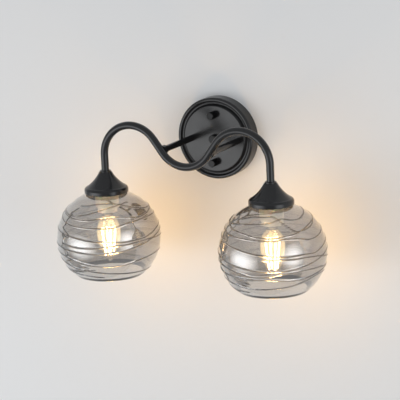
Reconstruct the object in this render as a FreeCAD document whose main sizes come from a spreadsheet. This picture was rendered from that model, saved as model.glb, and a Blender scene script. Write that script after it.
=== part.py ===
import FreeCAD, Part
import math
import os
import re

import Sketcher

# Double arm wall sconce, in millimetres. +X is to the right as one faces the wall, +Y points
# into the wall and +Z is up. The origin is the centre of the canopy's back, on the wall.
# A depth is measured out of the wall (-Y), and a drop downwards from the canopy's centre (-Z).

Vector = FreeCAD.Vector
CLOCKWISE = -1
ANTICLOCKWISE = 1
SIDES = (("left", "-"), ("right", ""))
FILAMENTS = 4
CAP_NUT_FLUTES = 16

SIZES = (
    ("canopy_radius", 60, "wall cover, outer radius"),
    ("canopy_depth", 21, "wall cover, wall to front of rim"),
    ("canopy_wall", 1.2, "pressed sheet of the wall cover"),
    ("rim_round", 3, "radius of the rim's outer edge"),
    ("rim_land", 1.3, "flat top of the rim"),
    ("groove_slope", 1.9, "width of each flank of the pressed groove"),
    ("groove_floor", 3.2, "width of the groove's floor"),
    ("groove_bend", 3.4, "bend radius of the groove's floor"),
    ("groove_depth", 2.6, "groove floor behind the rim"),
    ("disc_step", 1.5, "flat disc in front of the rim"),
    ("disc_round", 1.2, "radius of the disc's edge"),
    ("bracket_width", 24, "cross bar behind the cover"),
    ("bracket_thick", 2, "cross bar sheet"),
    ("web_half", 25, "half length of the part that lies on the wall"),
    ("ear_raise", 5, "the ears stand off the wall"),
    ("ear_end", 53, "half length of the cross bar"),
    ("wall_slot_offset", 17, "wall screw slot from the centre"),
    ("wall_slot_length", 12, "wall screw slot, end to end"),
    ("wall_slot_width", 4.5, "wall screw slot width"),
    ("screw_offset", 35, "canopy screw from the centre"),
    ("screw_radius", 2, "canopy screw shank"),
    ("screw_head_radius", 3.5, "canopy screw head"),
    ("screw_head_height", 2.4, "canopy screw head"),
    ("screw_reach", 6.5, "canopy screw in front of the cover"),
    ("screw_point", 0.5, "bevel of a screw's tip"),
    ("screw_nut_flats", 7, "lock nut on the canopy screw, across flats"),
    ("screw_nut_height", 3.2, "lock nut on the canopy screw"),
    ("hole_clearance", 0.25, "radial room of a screw in its hole"),
    ("running_clearance", 0.06, "radial room of a turning or sliding fit"),
    ("seat_gap", 0.03, "room between pieces that seat on each other"),
    ("cap_nut_radius", 5.4, "knurled cap nut"),
    ("cap_nut_height", 12, "knurled cap nut"),
    ("cap_nut_edge", 0.8, "bevel of the cap nut"),
    ("cap_nut_flute", 0.55, "radius of each flute"),
    ("earth_offset", 45.5, "earth screw from the centre"),
    ("earth_washer_radius", 4.2, "washer under the earth screw"),
    ("earth_washer_thick", 0.8, "washer under the earth screw"),
    ("plug_radius", 6.2, "button in the middle of the cover"),
    ("plug_height", 6, "button in front of the disc"),
    ("plug_edge", 0.8, "rounding of the button's edge"),
    ("plug_shank_radius", 2.5, "shank of the button"),
    ("plug_reach", 6, "shank behind the disc's face"),
    ("plug_nut_flats", 8, "nut of the button, across flats"),
    ("plug_nut_height", 4, "nut of the button"),
    ("block_width", 17, "terminal block"),
    ("block_length", 16, "terminal block"),
    ("block_height", 11, "terminal block"),
    ("block_screw_radius", 1.4, "screw that holds the terminal block"),
    ("block_head_radius", 2.6, "head of that screw"),
    ("block_head_height", 1.8, "head of that screw"),
    ("block_sink_depth", 4, "recess for that screw's head"),
    ("block_pitch_x", 11, "clamp screws apart, along the poles"),
    ("block_pitch_z", 8.6, "clamp screws apart, pole to pole"),
    ("clamp_screw_radius", 1.6, "clamp screw"),
    ("clamp_screw_height", 3.5, "clamp screw"),
    ("clamp_well_depth", 6, "well of a clamp screw"),
    ("rod_offset", 38, "rod from the centre line"),
    ("rod_radius", 4.6, "rod, outside"),
    ("rod_bore", 2.1, "rod, inside radius"),
    ("stub_radius", 3, "threaded end of the rod"),
    ("stub_reach", 5.6, "threaded end behind the disc's back"),
    ("washer_radius", 6.5, "washer on the rod's threaded end"),
    ("washer_thick", 1, "washer on the rod's threaded end"),
    ("rod_nut_flats", 10, "lock nut of the rod, across flats"),
    ("rod_nut_height", 3, "lock nut of the rod"),
    ("arm_reach", 115, "wall to the centre of the bent tube"),
    ("knuckle_radius", 6.6, "knuckle between rod and tube"),
    ("knuckle_edge", 0.6, "knuckle's back edge round the rod"),
    ("knuckle_taper", 3.5, "coned back of the knuckle"),
    ("knuckle_length", 9, "knuckle behind the tube"),
    ("knuckle_wrap", 3, "saddle of the knuckle round the tube"),
    ("knuckle_socket", 5, "rod inside the knuckle"),
    ("tube_radius", 5.5, "bent tube, outside"),
    ("tube_wall", 1, "bent tube, wall"),
    ("lamp_offset", 131, "lamp axis from the centre line"),
    ("arch_radius", 45, "centre line of each arch"),
    ("arch_centre_z", -12.2, "centre of each arch"),
    ("valley_radius", 43.9, "centre line of the valley"),
    ("valley_centre_z", 20.8, "centre of the valley"),
    ("collar_drop", 35, "top of the collar on the tube's end"),
    ("collar_radius", 8, "collar on the tube's end"),
    ("collar_height", 2.2, "collar on the tube's end"),
    ("collar_edge", 0.7, "rounding of the collar"),
    ("cup_wall", 1.2, "spun sheet of the cup"),
    ("cup_top_radius", 9.2, "cup, at its top"),
    ("cup_neck_radius", 10.2, "cup, where the flare starts"),
    ("cup_neck_height", 2, "cup, top to the flare"),
    ("cup_flare_radius", 60, "hollow curve of the flare"),
    ("cup_flare_end_radius", 28.2, "cup, where the flare ends"),
    ("cup_flare_height", 19.2, "flare"),
    ("cup_lip_radius", 31.8, "cup, at its lip"),
    ("cup_shoulder_height", 4, "flare's end to the lip"),
    ("cup_shoulder_round", 5, "rounding above the lip"),
    ("cup_lip_height", 5.2, "lip"),
    ("cup_lip_round", 1.1, "rounding of the lip's lower edge"),
    ("cup_nut_flats", 13.5, "lock nut on the tube's end, across flats"),
    ("cup_nut_height", 3, "lock nut on the tube's end"),
    ("tube_end_drop", 47, "lower end of the tube"),
    ("holder_top_drop", 42, "top of the lampholder"),
    ("holder_cap_radius", 8, "lampholder cap"),
    ("holder_body_radius", 13.5, "lampholder body in the cup"),
    ("holder_cone_drop", 47.5, "lampholder, where its cone starts"),
    ("holder_body_drop", 53, "lampholder, where its body starts"),
    ("holder_flange_radius", 17.4, "flange that the glass is pressed against"),
    ("holder_flange_height", 3.4, "flange that the glass is pressed against"),
    ("holder_skirt_radius", 14.2, "threaded skirt"),
    ("holder_end_drop", 96, "mouth of the lampholder"),
    ("holder_mouth_radius", 10.4, "mouth of the lampholder"),
    ("holder_mouth_height", 3, "mouth of the lampholder"),
    ("holder_wire_radius", 2.6, "wire hole of the lampholder"),
    ("socket_drop", 71, "ceiling of the lamp socket"),
    ("socket_wall", 0.6, "brass screw shell"),
    ("socket_length", 18, "brass screw shell"),
    ("contact_radius", 4, "centre contact"),
    ("contact_thick", 0.8, "centre contact"),
    ("contact_dome", 0.7, "centre contact's dome"),
    ("shade_radius", 76.3, "glass, outside, at its widest"),
    ("shade_arc", 70, "glass, radius of its curve"),
    ("shade_centre_drop", 134, "glass, height of its widest"),
    ("shade_wall", 2.8, "glass wall"),
    ("shade_neck_radius", 14.8, "hole at the top of the glass"),
    ("shade_mouth_radius", 50, "open mouth of the glass"),
    ("ring_flange_radius", 21, "shade ring flange"),
    ("ring_flange_thick", 2, "shade ring flange"),
    ("ring_skirt_radius", 17.4, "shade ring skirt under the flange"),
    ("ring_end_radius", 16.6, "shade ring skirt at its end"),
    ("ring_height", 20.5, "shade ring"),
    ("bulb_cap_radius", 6.95, "screw cap of the bulb"),
    ("bulb_cap_foot", 8.2, "foot of the screw cap"),
    ("bulb_cap_end_drop", 102, "foot of the screw cap"),
    ("bulb_cap_length", 29, "screw cap with its contact"),
    ("bulb_contact_radius", 2.4, "contact at the cap's end"),
    ("bulb_contact_height", 1.6, "contact at the cap's end"),
    ("bulb_foot_height", 2.5, "flared foot of the cap"),
    ("bulb_radius", 17.5, "candle glass at its widest"),
    ("bulb_neck_radius", 7.7, "candle glass at its neck"),
    ("bulb_belly_drop", 127, "candle glass, height of its widest"),
    ("bulb_tip_drop", 171, "tip of the candle glass"),
    ("bulb_tip_height", 3, "rounded tip"),
    ("bulb_tip_radius", 3.4, "candle glass above its tip"),
    ("bulb_wall", 0.8, "candle glass wall"),
    ("stem_radius", 6, "glass stem at its foot"),
    ("stem_neck_radius", 2.2, "glass stem"),
    ("stem_flare_height", 7, "flare of the glass stem"),
    ("mast_radius", 0.5, "wires that carry the filaments"),
    ("filament_radius", 1.2, "filament"),
    ("filament_top_drop", 121, "upper end of the filaments"),
    ("filament_end_drop", 160, "lower end of the filaments"),
    ("stem_gap", 2, "lower end of the glass stem above the filaments"),
    ("filament_top_spread", 10.4, "filaments from the bulb's axis, above"),
    ("filament_end_spread", 6, "filaments from the bulb's axis, below"),
    ("lead_radius", 1.2, "lead in the rod and tube"),
    ("lead_bend", 5, "bend of the lead where it enters the tube"),
)

# Lengths that follow from the driving sizes.
DERIVED = {
    "face_depth": "canopy_depth + disc_step",
    "face_back": "face_depth - canopy_wall",
    "rim_inner": "canopy_radius - rim_round - rim_land",
    "groove_outer": "rim_inner - groove_slope",
    "groove_inner": "groove_outer - groove_floor",
    "groove_bottom": "canopy_depth - groove_depth",
    "disc_edge": "groove_inner - groove_slope",
    "disc_radius": "disc_edge - disc_round",
    "bend_shift": "bracket_thick * (sqrt(2) - 1)",
    "ear_start": "web_half + ear_raise",
    "ear_front": "ear_raise + bracket_thick",
    "span": "lamp_offset - arch_radius",
    "rise": "valley_centre_z - arch_centre_z",
    "run_tilt": "asin((arch_radius + valley_radius) / sqrt(span^2 + rise^2)) - atan(rise / span)",
    "run_top_x": "span - arch_radius * sin(run_tilt)",
    "run_top_z": "arch_centre_z + arch_radius * cos(run_tilt)",
    "run_low_x": "valley_radius * sin(run_tilt)",
    "run_low_z": "valley_centre_z - valley_radius * cos(run_tilt)",
    "rod_z": "valley_centre_z - valley_radius / cos(run_tilt) + rod_offset * tan(run_tilt)",
    "knuckle_back": "arm_reach - tube_radius - knuckle_length",
    "rod_end": "knuckle_back + knuckle_socket",
    "cup_top_drop": "collar_drop + collar_height",
    "cup_neck_drop": "cup_top_drop + cup_neck_height",
    "cup_flare_drop": "cup_neck_drop + cup_flare_height",
    "cup_lip_drop": "cup_flare_drop + cup_shoulder_height",
    "cup_end_drop": "cup_lip_drop + cup_lip_height",
    "shade_offset": "shade_radius - shade_arc",
    "shade_inner_arc": "shade_arc - shade_wall",
    "shade_top": "shade_centre_drop - sqrt(shade_arc^2 - (shade_neck_radius - shade_offset)^2)",
    "shade_inner_top":
        "shade_centre_drop - sqrt(shade_inner_arc^2 - (shade_neck_radius - shade_offset)^2)",
    "mouth_cosine": "(shade_mouth_radius - shade_offset) / shade_arc",
    "mouth_sine": "sqrt(1 - mouth_cosine^2)",
    "holder_flange_drop": "shade_top - seat_gap",
    "ring_top":
        "shade_centre_drop - sqrt(shade_inner_arc^2 - (ring_flange_radius - shade_offset)^2)"
        " + seat_gap",
    "ring_bore": "holder_skirt_radius + running_clearance",
    "socket_radius": "bulb_cap_radius + running_clearance",
    "socket_bore": "socket_radius + socket_wall + seat_gap",
    "socket_mouth_drop": "holder_end_drop - holder_mouth_height",
    "bulb_contact_drop": "bulb_cap_end_drop - bulb_cap_length",
    "bulb_glass_drop": "bulb_cap_end_drop + seat_gap",
    "belly_rise": "bulb_belly_drop - bulb_glass_drop",
    "belly_step": "bulb_radius - bulb_neck_radius",
    "upper_curve": "(belly_step^2 + belly_rise^2) / (2 * belly_step)",
    "taper_drop": "bulb_tip_drop - bulb_tip_height",
    "taper_fall": "taper_drop - bulb_belly_drop",
    "taper_step": "bulb_radius - bulb_tip_radius",
    "taper_curve": "(taper_step^2 + taper_fall^2) / (2 * taper_step)",
    "tip_curve": "(bulb_tip_radius^2 + bulb_tip_height^2) / (2 * bulb_tip_height)",
    "stem_end_drop": "filament_top_drop - stem_gap",
    "block_front": "bracket_thick + block_height",
    "lead_depth": "bracket_thick + block_height / 2",
}

doc = FreeCAD.newDocument("double_arm_wall_sconce")
sheet = doc.addObject("Spreadsheet::Sheet", "Size")
CELLS = set()
for row, (alias, size, meaning) in enumerate(SIZES, start=1):
    sheet.set(f"A{row}", alias)
    sheet.set(f"B{row}", str(size))
    sheet.set(f"C{row}", meaning)
    sheet.setAlias(f"B{row}", alias)
    CELLS.add(alias)
doc.recompute()

pieces = []


def formula(text):
    """The text as an expression on the sheet's cells, with derived lengths written out."""

    def swap(match):
        word = match.group(0)
        if word in DERIVED:
            return "(" + formula(DERIVED[word]) + ")"
        return "Size." + word if word in CELLS else word

    return re.sub(r"[A-Za-z_]\w*", swap, text)


def number(text):
    """The value that a formula has now; an angle comes in degrees."""
    result = sheet.evalExpression(formula(text))
    return float(getattr(result, "Value", result))


def bind(item, path, text):
    item.setExpression(path, formula(text))


def keep(item, label, x="0", y="0", z="0"):
    """Names a finished sub-part and puts it in its place."""
    item.Label = label
    for axis, text in zip("xyz", (x, y, z)):
        if text != "0":
            bind(item, f".Placement.Base.{axis}", text)
    pieces.append(item)
    return item


def new_body(name):
    body = doc.addObject("PartDesign::Body", name)
    body.AllowCompound = True
    return body


def new_sketch(body, name, plane):
    sketch = body.newObject("Sketcher::SketchObject", name)
    planes = {item.Role: item for item in body.Origin.OriginFeatures}
    sketch.AttachmentSupport = [(planes[plane], "")]
    sketch.MapMode = "FlatFace"
    return sketch


def measure(sketch, kind, first, second, text, tag):
    """Adds a dimension that follows a formula."""
    constraint = Sketcher.Constraint(kind, *first, *second, number(text))
    index = sketch.addConstraint(constraint)
    sketch.renameConstraint(index, tag)
    bind(sketch, f"Constraints.{tag}", text)


def pin_point(sketch, geometry, point, x, y, tag):
    """Fixes a point of the sketch at formulas measured from the origin."""
    if x == "0":
        sketch.addConstraint(Sketcher.Constraint("PointOnObject", geometry, point, -2))
    else:
        measure(sketch, "DistanceX", (-1, 1), (geometry, point), x, f"{tag}_x")
    if y == "0":
        sketch.addConstraint(Sketcher.Constraint("PointOnObject", geometry, point, -1))
    else:
        measure(sketch, "DistanceY", (-1, 1), (geometry, point), y, f"{tag}_y")


def arc_between(start, end, radius, turn):
    """The shorter arc from start to end; the sketcher stores every arc anticlockwise."""
    chord = end - start
    reach = math.sqrt(max(radius**2 - (chord.Length / 2) ** 2, 0.0))
    side = Vector(-chord.y, chord.x, 0).normalize() * (turn * reach)
    centre = (start + end) * 0.5 + side
    angles = [math.atan2(p.y - centre.y, p.x - centre.x) for p in (start, end)]
    if turn == CLOCKWISE:
        angles.reverse()
    return Part.ArcOfCircle(Part.Circle(centre, Vector(0, 0, 1), radius), *angles)


def draw(sketch, steps, closed=True):
    """Draws straight steps (x, y) and arcs (x, y, radius, turn), each from the point before."""
    points = [Vector(number(step[0]), number(step[1]), 0) for step in steps]
    edges = []
    for index, step in enumerate(steps):
        if index == 0 and not closed:
            continue
        start = points[index - 1]
        end = points[index]
        if len(step) == 2:
            edge = sketch.addGeometry(Part.LineSegment(start, end), False)
            edges.append((edge, 1, 2, step))
            continue
        edge = sketch.addGeometry(arc_between(start, end, number(step[2]), step[3]), False)
        ends = (1, 2) if step[3] == ANTICLOCKWISE else (2, 1)
        edges.append((edge, *ends, step))
    for index, (edge, first, last, step) in enumerate(edges):
        if index or closed:
            before = edges[index - 1]
            sketch.addConstraint(
                Sketcher.Constraint("Coincident", before[0], before[2], edge, first))
        pin_point(sketch, edge, last, step[0], step[1], f"point{edge}")
        if len(step) == 4:
            tag = f"bend{edge}"
            constraint = sketch.addConstraint(
                Sketcher.Constraint("Radius", edge, number(step[2])))
            sketch.renameConstraint(constraint, tag)
            bind(sketch, f"Constraints.{tag}", step[2])
    if not closed:
        pin_point(sketch, edges[0][0], edges[0][1], steps[0][0], steps[0][1], "start")


def draw_circle(sketch, x, y, radius, tag):
    centre = Vector(number(x), number(y), 0)
    edge = sketch.addGeometry(Part.Circle(centre, Vector(0, 0, 1), number(radius)), False)
    pin_point(sketch, edge, 3, x, y, tag)
    constraint = sketch.addConstraint(Sketcher.Constraint("Radius", edge, number(radius)))
    sketch.renameConstraint(constraint, f"{tag}_radius")
    bind(sketch, f"Constraints.{tag}_radius", radius)


def draw_polygon(sketch, corners, tag):
    points = [Vector(number(x), number(y), 0) for x, y in corners]
    edges = []
    for index, point in enumerate(points):
        following = points[(index + 1) % len(points)]
        edges.append(sketch.addGeometry(Part.LineSegment(point, following), False))
    for index, edge in enumerate(edges):
        before = edges[index - 1]
        sketch.addConstraint(Sketcher.Constraint("Coincident", before, 2, edge, 1))
        pin_point(sketch, edge, 1, *corners[index], f"{tag}_corner{index}")


def down(steps):
    """Steps given as (radius, drop) or (radius, depth): both are measured the negative way."""
    return [(step[0], "0" if step[1] == "0" else f"-({step[1]})", *step[2:]) for step in steps]


def turned(name, plane, steps):
    """A body turned about its sketch's vertical axis: Z in XZ_Plane, Y in XY_Plane."""
    body = new_body(name)
    sketch = new_sketch(body, f"{name}_profile", plane)
    draw(sketch, down(steps))
    turn = body.newObject("PartDesign::Revolution", f"{name}_turned")
    turn.Profile = sketch
    turn.ReferenceAxis = (sketch, ["V_Axis"])
    turn.Angle = 360
    body.Tip = turn
    return body


def check_cut(cut):
    """A pocket that points away from the solid cuts nothing, so its volume is compared."""
    if cut.Shape.Volume > cut.BaseFeature.Shape.Volume - 1e-3:
        raise ValueError(f"{cut.Name} cuts nothing")


def pocket_through(body, name, sketch, side="Symmetric"):
    cut = body.newObject("PartDesign::Pocket", name)
    cut.Profile = sketch
    cut.Type = "ThroughAll"
    cut.SideType = side
    doc.recompute()
    check_cut(cut)
    body.Tip = cut
    return cut


def drill(body, name, plane, circles, side="Symmetric"):
    """Cuts round holes (x, y, radius) right through, both ways or one way from the plane."""
    sketch = new_sketch(body, f"{name}_sketch", plane)
    for index, (x, y, radius) in enumerate(circles):
        draw_circle(sketch, x, y, radius, f"hole{index}")
    return pocket_through(body, name, sketch, side)


def repeat_along(body, feature, axis, length):
    """A second copy of a feature, one length along an axis of its body."""
    pattern = body.newObject("PartDesign::LinearPattern", f"{feature.Name}_pair")
    pattern.Originals = [feature]
    axes = {item.Role: item for item in body.Origin.OriginFeatures}
    pattern.Direction = (axes[axis], [""])
    pattern.Occurrences = 2
    bind(pattern, "Length", length)
    body.Tip = pattern


def hex_nuts(name, plane, flats, height, bore, offset, places):
    """Lock nuts in one node; offset is along the plane's normal, places are (x, y) in it."""
    body = new_body(name)
    sketch = new_sketch(body, f"{name}_sketch", plane)
    for index, (x, y) in enumerate(places):
        corner = f"{flats} / (2 * cos(30))"
        angles = [60 * step for step in range(6)]
        corners = [(f"{x} + {corner} * cos({a})", f"{y} + {corner} * sin({a})") for a in angles]
        draw_polygon(sketch, corners, f"nut{index}")
        draw_circle(sketch, x, y, bore, f"bore{index}")
    bind(sketch, ".AttachmentOffset.Base.z", offset)
    pad = body.newObject("PartDesign::Pad", f"{name}_pad")
    pad.Profile = sketch
    bind(pad, "Length", height)
    body.Tip = pad
    return body


def solid(kind, name, **sizes):
    """A primitive whose properties follow formulas."""
    item = doc.addObject(kind, name)
    for path, text in sizes.items():
        bind(item, path, text)
    return item


def face_out(item):
    """Turns a primitive's own +Z to point out of the wall."""
    item.Placement = FreeCAD.Placement(Vector(0, 0, 0), FreeCAD.Rotation(Vector(1, 0, 0), 90))
    return item


def rod_between(start, end, radius):
    return Part.makeCylinder(radius, (end - start).Length, start, end - start)


def store(name, shape):
    item = doc.addObject("Part::Feature", name)
    item.Shape = shape
    return item


# ---------------------------------------------------------------- behind the wall cover


def wall_bracket():
    """Slotted cross bar: its web lies on the wall, its ears stand off it."""
    body = new_body("wall_bracket")
    sketch = new_sketch(body, "bracket_profile", "YZ_Plane")
    half = [
        ("0", "web_half"),
        ("-ear_raise", "ear_start"),
        ("-ear_raise", "ear_end"),
        ("-ear_front", "ear_end"),
        ("-ear_front", "ear_start - bend_shift"),
        ("-bracket_thick", "web_half - bend_shift"),
    ]
    other_half = [(x, f"-({z})") for x, z in reversed(half)]
    draw_polygon(sketch, half + other_half, "bar")
    pad = body.newObject("PartDesign::Pad", "bracket_bar")
    pad.Profile = sketch
    pad.SideType = "Symmetric"
    bind(pad, "Length", "bracket_width")
    doc.recompute()
    hole = "screw_radius + hole_clearance"
    drill(body, "bracket_holes", "XZ_Plane", [
        ("0", "screw_offset", hole),
        ("0", "-screw_offset", hole),
        ("0", "earth_offset", "screw_radius + seat_gap"),
        ("0", "0", "block_screw_radius + seat_gap"),
    ])
    slots = new_sketch(body, "bracket_slot_sketch", "XZ_Plane")
    side = "wall_slot_width / 2"
    for middle in ("wall_slot_offset", "-wall_slot_offset"):
        straight = "(wall_slot_length - wall_slot_width) / 2"
        draw(slots, [
            (side, f"{middle} + {straight}"),
            ("0", f"{middle} + wall_slot_length / 2", side, ANTICLOCKWISE),
            (f"-{side}", f"{middle} + {straight}", side, ANTICLOCKWISE),
            (f"-{side}", f"{middle} - {straight}"),
            ("0", f"{middle} - wall_slot_length / 2", side, ANTICLOCKWISE),
            (side, f"{middle} - {straight}", side, ANTICLOCKWISE),
        ])
    pocket_through(body, "bracket_slots", slots)
    keep(body, "wall_bracket")


def canopy_screws():
    """Two screws, heads behind the ears, that carry the wall cover."""
    tip = "face_depth + screw_reach"
    body = turned("canopy_screws", "XY_Plane", [
        ("0", "ear_raise - screw_head_height"),
        ("screw_head_radius", "ear_raise - screw_head_height"),
        ("screw_head_radius", "ear_raise"),
        ("screw_radius", "ear_raise"),
        ("screw_radius", f"{tip} - screw_point"),
        ("screw_radius - screw_point", tip),
        ("0", tip),
    ])
    repeat_along(body, body.Tip, "Z_Axis", "2 * screw_offset")
    keep(body, "canopy_screws", z="-screw_offset")
    places = [("0", "screw_offset"), ("0", "-screw_offset")]
    nuts = hex_nuts("screw_lock_nuts", "XZ_Plane", "screw_nut_flats", "screw_nut_height",
                    "screw_radius + seat_gap", "ear_front", places)
    keep(nuts, "screw_lock_nuts")


def earth_terminal():
    """Earth screw and its washer on the upper ear."""
    top = "ear_front + earth_washer_thick"
    screw = turned("earth_screw", "XY_Plane", [
        ("0", "screw_head_height / 2"),
        ("screw_radius", "screw_head_height / 2"),
        ("screw_radius", top),
        ("screw_head_radius", top),
        ("screw_head_radius", f"{top} + screw_head_height"),
        ("0", f"{top} + screw_head_height"),
    ])
    keep(screw, "earth_screw", z="earth_offset")
    washer = turned("earth_washer", "XY_Plane", [
        ("screw_radius + seat_gap", "ear_front"),
        ("earth_washer_radius", "ear_front"),
        ("earth_washer_radius", top),
        ("screw_radius + seat_gap", top),
    ])
    keep(washer, "earth_washer", z="earth_offset")


def terminal_block():
    """Two-pole block on the web, with its clamp screws and the screw that holds it."""
    body = new_body("terminal_block")
    outline = new_sketch(body, "block_outline", "XZ_Plane")
    half_x = "block_width / 2"
    half_z = "block_length / 2"
    corners = [(half_x, half_z), (f"-{half_x}", half_z), (f"-{half_x}", f"-{half_z}"),
               (half_x, f"-{half_z}")]
    draw_polygon(outline, corners, "block")
    bind(outline, ".AttachmentOffset.Base.z", "bracket_thick")
    pad = body.newObject("PartDesign::Pad", "block_pad")
    pad.Profile = outline
    bind(pad, "Length", "block_height")
    doc.recompute()
    drill(body, "block_fixing", "XZ_Plane",
          [("0", "0", "block_screw_radius + hole_clearance")])
    wells = [(f"{x}block_pitch_x / 2", f"{z}block_pitch_z / 2") for x in ("", "-")
             for z in ("", "-")]
    well_radius = "clamp_screw_radius + hole_clearance"
    for name, circles, depth in (
        ("block_wells", [(x, z, well_radius) for x, z in wells], "clamp_well_depth"),
        ("block_sink", [("0", "0", "block_head_radius + hole_clearance")], "block_sink_depth"),
    ):
        sketch = new_sketch(body, f"{name}_sketch", "XZ_Plane")
        for index, circle in enumerate(circles):
            draw_circle(sketch, *circle, f"well{index}")
        bind(sketch, ".AttachmentOffset.Base.z", "block_front")
        pocket = body.newObject("PartDesign::Pocket", name)
        pocket.Profile = sketch
        bind(pocket, "Length", depth)
        doc.recompute()
        check_cut(pocket)
        body.Tip = pocket
    keep(body, "terminal_block")

    clamps = new_body("clamp_screws")
    sketch = new_sketch(clamps, "clamp_sketch", "XZ_Plane")
    for index, (x, z) in enumerate(wells):
        draw_circle(sketch, x, z, "clamp_screw_radius", f"clamp{index}")
    bind(sketch, ".AttachmentOffset.Base.z", "block_front - clamp_well_depth")
    pad = clamps.newObject("PartDesign::Pad", "clamp_pad")
    pad.Profile = sketch
    bind(pad, "Length", "clamp_screw_height")
    keep(clamps, "clamp_screws")

    head_back = "block_front - block_sink_depth"
    screw = turned("block_screw", "XY_Plane", [
        ("0", "bracket_thick / 4"),
        ("block_screw_radius", "bracket_thick / 4"),
        ("block_screw_radius", head_back),
        ("block_head_radius", head_back),
        ("block_head_radius", f"{head_back} + block_head_height"),
        ("0", f"{head_back} + block_head_height"),
    ])
    keep(screw, "block_screw")


# ---------------------------------------------------------------- wall cover


def canopy():
    """Pressed sheet cover: rounded rim, soft groove and a raised flat disc."""
    back = "canopy_wall"
    inner_wall = f"canopy_radius - {back}"
    body = turned("canopy", "XY_Plane", [
        (inner_wall, "0"),
        ("canopy_radius", "0"),
        ("canopy_radius", "canopy_depth - rim_round"),
        ("canopy_radius - rim_round", "canopy_depth", "rim_round", CLOCKWISE),
        ("rim_inner", "canopy_depth"),
        ("groove_outer", "groove_bottom"),
        ("groove_inner", "groove_bottom", "groove_bend", CLOCKWISE),
        ("disc_edge", "face_depth - disc_round"),
        ("disc_radius", "face_depth", "disc_round", CLOCKWISE),
        ("0", "face_depth"),
        ("0", "face_back"),
        (f"disc_radius - {back} / 2", "face_back"),
        (f"groove_inner - {back}", f"groove_bottom - {back}"),
        (f"groove_outer + {back}", f"groove_bottom - {back}"),
        (f"rim_inner + {back} / 2", f"canopy_depth - {back}"),
        ("canopy_radius - rim_round", f"canopy_depth - {back}"),
        (inner_wall, "canopy_depth - rim_round", f"rim_round - {back}", ANTICLOCKWISE),
    ])
    doc.recompute()
    screw_hole = "screw_radius + hole_clearance"
    rod_hole = "stub_radius + hole_clearance"
    drill(body, "canopy_holes", "XZ_Plane", [
        ("0", "screw_offset", screw_hole),
        ("0", "-screw_offset", screw_hole),
        ("0", "0", "plug_shank_radius + hole_clearance"),
        ("rod_offset", "rod_z", rod_hole),
        ("-rod_offset", "rod_z", rod_hole),
    ])
    keep(body, "canopy")


def cap_nut(name, z):
    """Fluted cap nut with a blind bore that runs on its screw."""
    bore = "screw_radius + running_clearance"
    top = "face_depth + cap_nut_height"
    bottom = "face_depth + screw_reach + cap_nut_edge"
    body = turned(name, "XY_Plane", [
        (bore, "face_depth"),
        ("cap_nut_radius", "face_depth"),
        ("cap_nut_radius", f"{top} - cap_nut_edge"),
        ("cap_nut_radius - cap_nut_edge", top),
        ("0", top),
        ("0", bottom),
        (bore, bottom),
    ])
    doc.recompute()
    flute = drill(body, f"{name}_flute", "XZ_Plane",
                  [("cap_nut_radius", "0", "cap_nut_flute")])
    pattern = body.newObject("PartDesign::PolarPattern", f"{name}_flutes")
    pattern.Originals = [flute]
    axes = {item.Role: item for item in body.Origin.OriginFeatures}
    pattern.Axis = (axes["Y_Axis"], [""])
    pattern.Angle = 360
    pattern.Occurrences = CAP_NUT_FLUTES
    body.Tip = pattern
    keep(body, name, z=z)


def centre_plug():
    """Button that closes the hole in the middle of the disc, and its nut."""
    tip = "face_depth - plug_reach"
    front = "face_depth + plug_height"
    body = turned("centre_plug", "XY_Plane", [
        ("0", tip),
        ("plug_shank_radius", tip),
        ("plug_shank_radius", "face_depth"),
        ("plug_radius", "face_depth"),
        ("plug_radius", f"{front} - plug_edge"),
        ("plug_radius - plug_edge", front, "plug_edge", CLOCKWISE),
        ("0", front),
    ])
    keep(body, "centre_plug")
    nut = hex_nuts("centre_plug_nut", "XZ_Plane", "plug_nut_flats", "plug_nut_height",
                   "plug_shank_radius + seat_gap", "face_back - plug_nut_height", [("0", "0")])
    keep(nut, "centre_plug_nut")


# ---------------------------------------------------------------- arm


def stand_off_rods():
    """Rods square to the wall, with threaded ends through the cover, washers and nuts."""
    stub_end = "face_back - stub_reach"
    for side, sign in SIDES:
        body = turned(f"{side}_rod", "XY_Plane", [
            ("rod_bore", stub_end),
            ("stub_radius", stub_end),
            ("stub_radius", "face_depth"),
            ("rod_radius", "face_depth"),
            ("rod_radius", "rod_end"),
            ("rod_bore", "rod_end"),
        ])
        keep(body, f"{side}_rod", x=f"{sign}rod_offset", z="rod_z")
    washers = turned("rod_washers", "XY_Plane", [
        ("stub_radius + hole_clearance", "face_back - washer_thick"),
        ("washer_radius", "face_back - washer_thick"),
        ("washer_radius", "face_back"),
        ("stub_radius + hole_clearance", "face_back"),
    ])
    repeat_along(washers, washers.Tip, "X_Axis", "2 * rod_offset")
    keep(washers, "rod_washers", x="-rod_offset", z="rod_z")
    nuts = hex_nuts("rod_lock_nuts", "XZ_Plane", "rod_nut_flats", "rod_nut_height",
                    "stub_radius + seat_gap", "face_back - washer_thick - rod_nut_height",
                    [("rod_offset", "rod_z"), ("-rod_offset", "rod_z")])
    keep(nuts, "rod_lock_nuts")


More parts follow.
